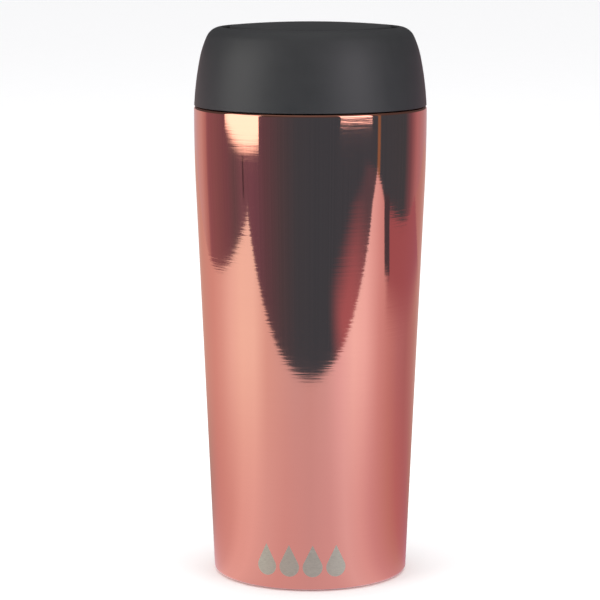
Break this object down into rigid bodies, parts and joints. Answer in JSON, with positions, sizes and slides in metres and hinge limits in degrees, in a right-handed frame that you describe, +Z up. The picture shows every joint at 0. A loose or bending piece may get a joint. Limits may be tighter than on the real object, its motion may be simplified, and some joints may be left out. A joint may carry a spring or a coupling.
{
  "type": "insulated tumbler",
  "caption": "Tapered double-walled vacuum tumbler with a smooth screw-in lid whose domed top is pressed to open a drinking gap all round the rim.",
  "frame": {"origin": "middle of the face that the tumbler stands on", "axes": "+Z up along the tumbler's axis; -Y is the side that carries the etched mark"},
  "size_m": [0.083, 0.083, 0.1987],
  "materials": {
    "rose_gold": "mirror-polished rose-gold coating on steel, with very fine lines round the wall",
    "steel": "brushed stainless steel",
    "copper_foil": "thin crinkled copper foil",
    "getter": "pressed grey powder pill",
    "spring_steel": "bright drawn or stamped spring steel",
    "solder": "dull solder",
    "dark_silicone": "matt silicone",
    "grey_silicone": "translucent food-grade silicone",
    "soft_black": "soft-touch matt black plastic with a fine grain",
    "core_plastic": "satin moulded polypropylene",
    "acetal": "natural acetal with a slight sheen"
  },
  "bodies": {
    "cup": {"outer_shell": "rose_gold", "inner_liner": "steel", "heat_shield": "copper_foil", "vacuum_base": "steel", "getter_pill": "getter", "getter_clip": "spring_steel", "seal_bead": "solder", "base_cover": "steel", "foot_pad": "dark_silicone"},
    "neck_seal": {"neck_gasket": "grey_silicone"},
    "lid": {"lid_collar": "soft_black", "lid_core": "core_plastic", "click_sleeve": "acetal", "stem_seal": "grey_silicone", "return_spring": "spring_steel"},
    "button": {"button_cap": "soft_black", "pusher": "acetal", "thrust_washer": "spring_steel", "valve_stem": "acetal", "stem_clip": "spring_steel", "valve_disc": "core_plastic", "valve_seal": "grey_silicone", "valve_screw": "spring_steel"},
    "rotor": {"click_rotor": "acetal"}
  },
  "joints": [
    {"name": "lid_rise", "type": "slide", "parent": "cup", "child": "neck_seal", "axis": [0, 0, 1], "range_m": [0, 0.042]},
    {"name": "lid_turn", "type": "hinge", "parent": "neck_seal", "child": "lid", "pos_m": [0, 0, 0.16], "axis": [0, 0, 1], "range_deg": [0, 1260]},
    {"name": "button_press", "type": "slide", "parent": "lid", "child": "button", "axis": [0, 0, -1], "range_m": [0, 0.005], "stiffness_N_per_m": 1000, "springref_m": -0.006, "deforming": ["return_spring"]},
    {"name": "rotor_index", "type": "hinge", "parent": "button", "child": "rotor", "pos_m": [0, 0, 0.172], "axis": [0, 0, 1], "range_deg": [0, 45]}
  ],
  "couplings": [
    {"joint": "lid_rise", "follows": "lid_turn", "m_per_rad": 0.0019099},
    {"joint": "rotor_index", "follows": "button_press", "rad_per_m": 157.07}
  ]
}
